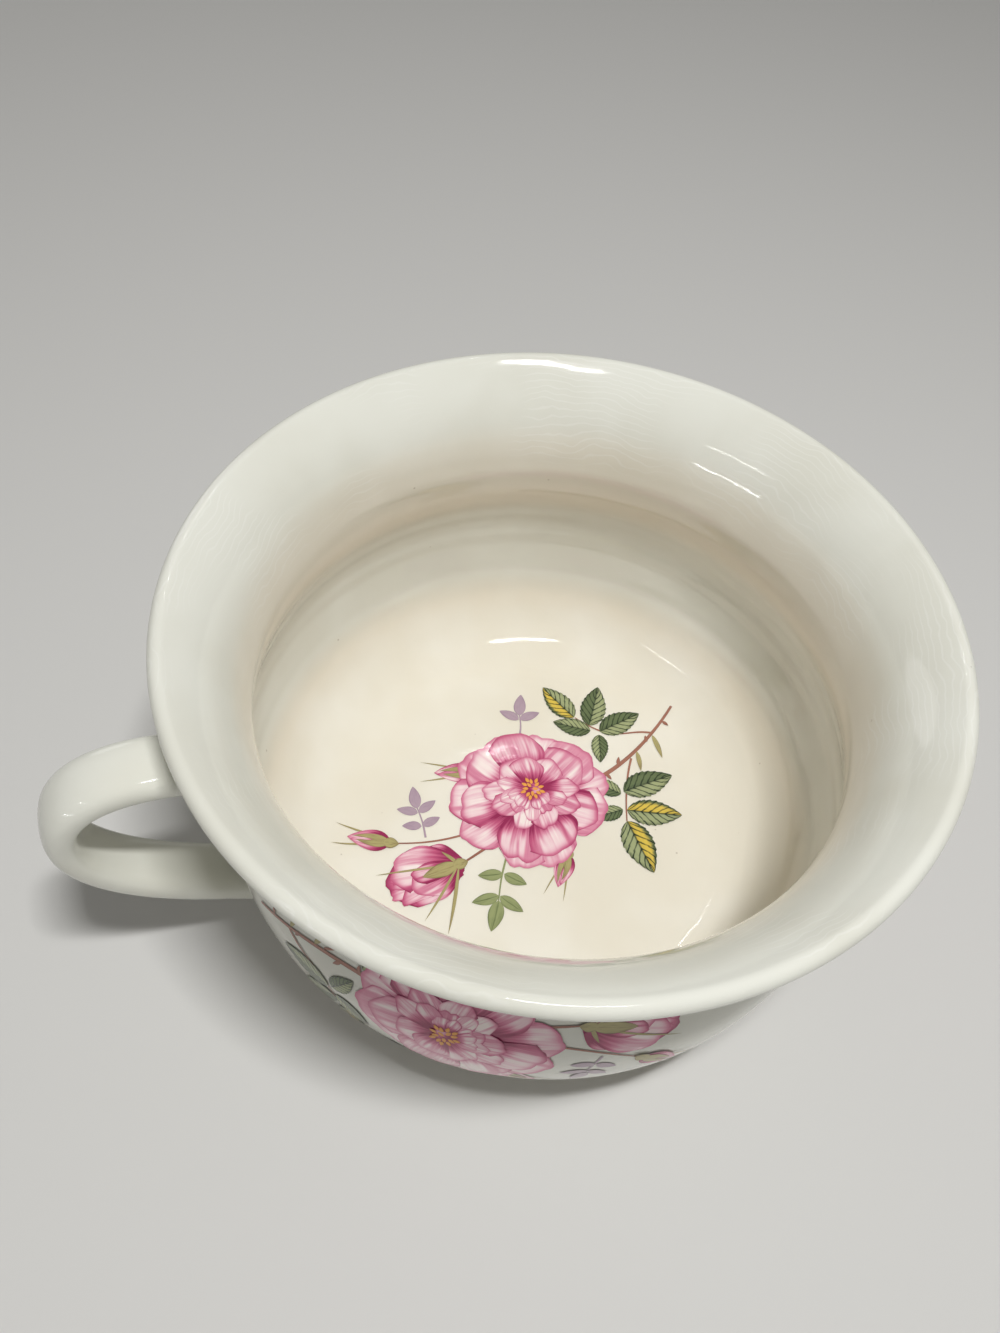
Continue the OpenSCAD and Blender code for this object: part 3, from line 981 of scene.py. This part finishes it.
# %% Floor and world
FLOOR_SIZE = 6
PAPER = srgb(212, 211, 208)
PAPER_ROUGHNESS = 0.9
AIR = srgb(244, 243, 240)
AIR_STRENGTH = 0.25
pick()
bpy.ops.mesh.primitive_plane_add(size=FLOOR_SIZE)
ground = bpy.context.object
ground.name = "studio_floor"
paper = bpy.data.materials.new("studio_paper")
paper.use_nodes = True
paper.node_tree.nodes["Principled BSDF"].inputs["Base Color"].default_value = PAPER
paper.node_tree.nodes["Principled BSDF"].inputs["Roughness"].default_value = PAPER_ROUGHNESS
ground.data.materials.append(paper)
scene = bpy.context.scene
scene.world = bpy.data.worlds.new("studio_air")
scene.world.use_nodes = True
air = scene.world.node_tree.nodes["Background"]
air.inputs["Color"].default_value = AIR
air.inputs["Strength"].default_value = AIR_STRENGTH
scene.view_settings.view_transform = "Standard"

# %% Lights
# Each light: name, place, target, size, watts
LIGHTS = [
    ("overhead", (0.01, -0.27, 1.13), (0.0, 0.0, 0.05), (0.24, 0.06), 9.5),
    ("overhead_streak", (0.01, -0.27, 1.13), (0.0, 0.0, 0.05), (0.24, 0.045), 3.4),
    ("back_strip", (0.27, 0.655, 1.06), (0.0, 0.0, 0.02), (0.080, 0.006), 0.05),
    ("window", (-0.361, 1.112, 0.39), (0.0, 0.0, 0.11), (0.42, 0.40), 0.50),
    ("side_strip", (-0.76, -0.19, 0.60), (0.08, 0.05, 0.10), (0.30, 0.006), 0.17),
    ("side_low_strip", (-0.84, -0.26, 0.275), (0.08, 0.05, 0.10), (0.38, 0.009), 0.45),
]
for name, place, target, size, watts in LIGHTS:
    aim = (Vector(target) - Vector(place)).to_track_quat("-Z", "Y").to_euler()
    bpy.ops.object.light_add(type="AREA", location=place, rotation=aim)
    lamp = bpy.context.object
    lamp.name = name
    lamp.data.shape = "ELLIPSE" if name == "window" else "RECTANGLE"
    lamp.data.size, lamp.data.size_y = size
    lamp.data.energy = watts
    lamp.visible_diffuse = name == "overhead"
    lamp.visible_glossy = not lamp.visible_diffuse
print("lights:", [light[0] for light in LIGHTS])

# %% Camera
CAMERA_RISE = 53.2
CAMERA_ROLL = 6.65
CAMERA_AWAY = 0.3394
LOOK_AT = Vector((-0.01771, 0.0, 0.1008))
SENSOR = 36.0
FOCAL_PIXELS, PICTURE_PIXELS = 1100, 1333
swing = Matrix.Rotation(math.radians(VIEW_TURN), 3, "Z")
tip = Matrix.Rotation(math.radians(90 - CAMERA_RISE), 3, "X")
roll = Matrix.Rotation(math.radians(CAMERA_ROLL), 3, "Z")
facing = swing @ tip @ roll
stand = swing @ LOOK_AT + CAMERA_AWAY * (facing @ Vector((0, 0, 1)))
bpy.ops.object.camera_add(location=stand, rotation=facing.to_euler())
camera = bpy.context.object
camera.data.sensor_width = SENSOR
camera.data.lens = SENSOR * FOCAL_PIXELS / PICTURE_PIXELS
camera.data.clip_start = 0.01
scene.camera = camera
print("camera at", [round(1000 * c, 1) for c in camera.location], "mm")

# %% [markdown]
